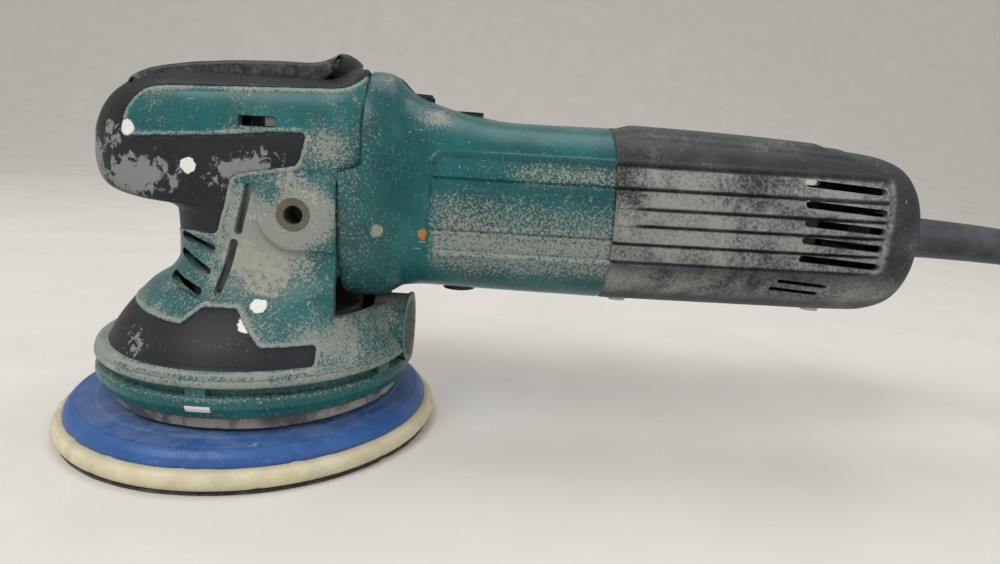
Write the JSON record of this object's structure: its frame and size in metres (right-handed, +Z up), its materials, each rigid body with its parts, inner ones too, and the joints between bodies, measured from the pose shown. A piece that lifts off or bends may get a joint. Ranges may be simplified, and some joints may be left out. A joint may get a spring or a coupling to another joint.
{
  "type": "dual action polisher",
  "caption": "Dual action polisher with a round foam pad on an eccentric spindle, a paddle lever on its head, a barrel motor housing and a mains cord.",
  "frame": {"origin": "centre of the pad's face, on the surface that the tool stands on", "axes": "+Z up along the pad's axis, +X along the motor towards the cord, +Y to the tool's right-hand side seen from the cord end looking forward"},
  "size_m": [0.5978, 0.191, 0.1478],
  "materials": {
    "hook_fabric": "fine hook pile",
    "pad_foam": "closed foam, cream, matt",
    "blue_plate": "moulded blue plastic, scuffed",
    "steel": "machined",
    "bearing_steel": "ground",
    "grey_plastic": "moulded",
    "teal_plastic": "fine texture, dusty with dried compound",
    "black_plastic": "moulded, dusty",
    "inner_plastic": "moulded",
    "seal_rubber": "dusty",
    "grip_rubber": "soft overmould, dusty",
    "red_plastic": "moulded",
    "pale_plastic": "moulded",
    "aluminium": "die cast",
    "brass": "turned",
    "laminations": "stacked sheets",
    "copper": "enamelled wire",
    "carbon": "pressed carbon",
    "green_board": "potted board",
    "cord_rubber": "matt rubber"
  },
  "bodies": {
    "machine": {"ring_gear": "steel", "shroud_plate": "grey_plastic", "skirt_ring": "teal_plastic", "dust_seal": "seal_rubber", "dust_spout": "teal_plastic", "spindle_bearing_lower": "bearing_steel", "spindle_bearing_upper": "bearing_steel", "gear_housing": "aluminium", "handle_inserts": "brass", "head_casing": "teal_plastic", "front_grip": "grip_rubber", "lower_band": "grip_rubber", "lever_pin": "steel", "lever_spring": "steel", "switch_body": "inner_plastic", "motor_bearing_front": "bearing_steel", "motor_bearing_rear": "bearing_steel", "rear_bearing_bracket": "grey_plastic", "fan_baffle": "grey_plastic", "field_core": "laminations", "field_coils": "copper", "brush_holders": "brass", "carbon_brushes": "carbon", "brush_springs": "steel", "brush_caps": "black_plastic", "motor_housing": "teal_plastic", "rear_cover": "black_plastic", "housing_screws": "steel", "cover_screws": "steel", "control_module": "green_board", "terminal_block": "pale_plastic", "cord_clamp": "inner_plastic", "strain_relief": "cord_rubber", "power_cord": "cord_rubber", "cord_coil": "cord_rubber", "cord_tail": "cord_rubber", "plug": "cord_rubber"},
    "spindle": {"eccentric_spindle": "steel", "counterweight": "steel", "dust_fan": "inner_plastic", "bevel_gear": "steel", "pad_bearing_lower": "bearing_steel", "pad_bearing_upper": "bearing_steel"},
    "pad": {"hook_layer": "hook_fabric", "pad_foam": "pad_foam", "pad_plate": "blue_plate", "pad_bolt": "steel", "pad_shaft": "steel"},
    "armature": {"bevel_pinion": "steel", "armature_shaft": "steel", "armature_core": "laminations", "armature_windings": "copper", "commutator": "copper", "motor_fan": "inner_plastic"},
    "lever": {"paddle_lever": "black_plastic"},
    "plunger": {"switch_plunger": "red_plastic"},
    "slider": {"lock_slider": "pale_plastic"},
    "knob": {"mode_knob": "black_plastic"},
    "lock_pin": {"ring_lock_pin": "steel"},
    "dial": {"speed_dial": "black_plastic"}
  },
  "joints": [
    {"name": "spindle_spin", "type": "hinge", "parent": "machine", "child": "spindle", "pos_m": [0.00275, 0, 0.06], "axis": [0, 0, 1], "continuous": true},
    {"name": "pad_spin", "type": "hinge", "parent": "spindle", "child": "pad", "pos_m": [0, 0, 0.04], "axis": [0, 0, 1], "continuous": true},
    {"name": "armature_spin", "type": "hinge", "parent": "machine", "child": "armature", "pos_m": [0.1, 0, 0.0925], "axis": [1, 0, 0], "continuous": true},
    {"name": "lever_press", "type": "hinge", "parent": "machine", "child": "lever", "pos_m": [-0.035, 0, 0.1315], "axis": [0, 1, 0], "range_deg": [0, 4.5], "stiffness_Nm_per_rad": 8, "springref_deg": -5.73, "deforming": ["lever_spring"]},
    {"name": "plunger_press", "type": "slide", "parent": "machine", "child": "plunger", "axis": [0, 0, -1], "range_m": [0, 0.0018]},
    {"name": "lock_slide", "type": "slide", "parent": "machine", "child": "slider", "axis": [-1, 0, 0], "range_m": [0, 0.007]},
    {"name": "mode_turn", "type": "hinge", "parent": "machine", "child": "knob", "pos_m": [0.062, 0, 0.13], "axis": [0, 0, 1], "range_deg": [0, 90]},
    {"name": "ring_lock", "type": "slide", "parent": "machine", "child": "lock_pin", "axis": [0, 0, 1], "range_m": [0, 0.003]},
    {"name": "speed_turn", "type": "hinge", "parent": "machine", "child": "dial", "pos_m": [0.229, 0.0196, 0.0745], "axis": [0, 0, 1], "range_deg": [0, 270]}
  ],
  "couplings": [
    {"joint": "pad_spin", "follows": "spindle_spin", "ratio": -1.1143},
    {"joint": "armature_spin", "follows": "spindle_spin", "ratio": 3.0833},
    {"joint": "plunger_press", "follows": "lever_press", "m_per_rad": 0.022},
    {"joint": "ring_lock", "follows": "mode_turn", "m_per_rad": 0.0019099}
  ]
}
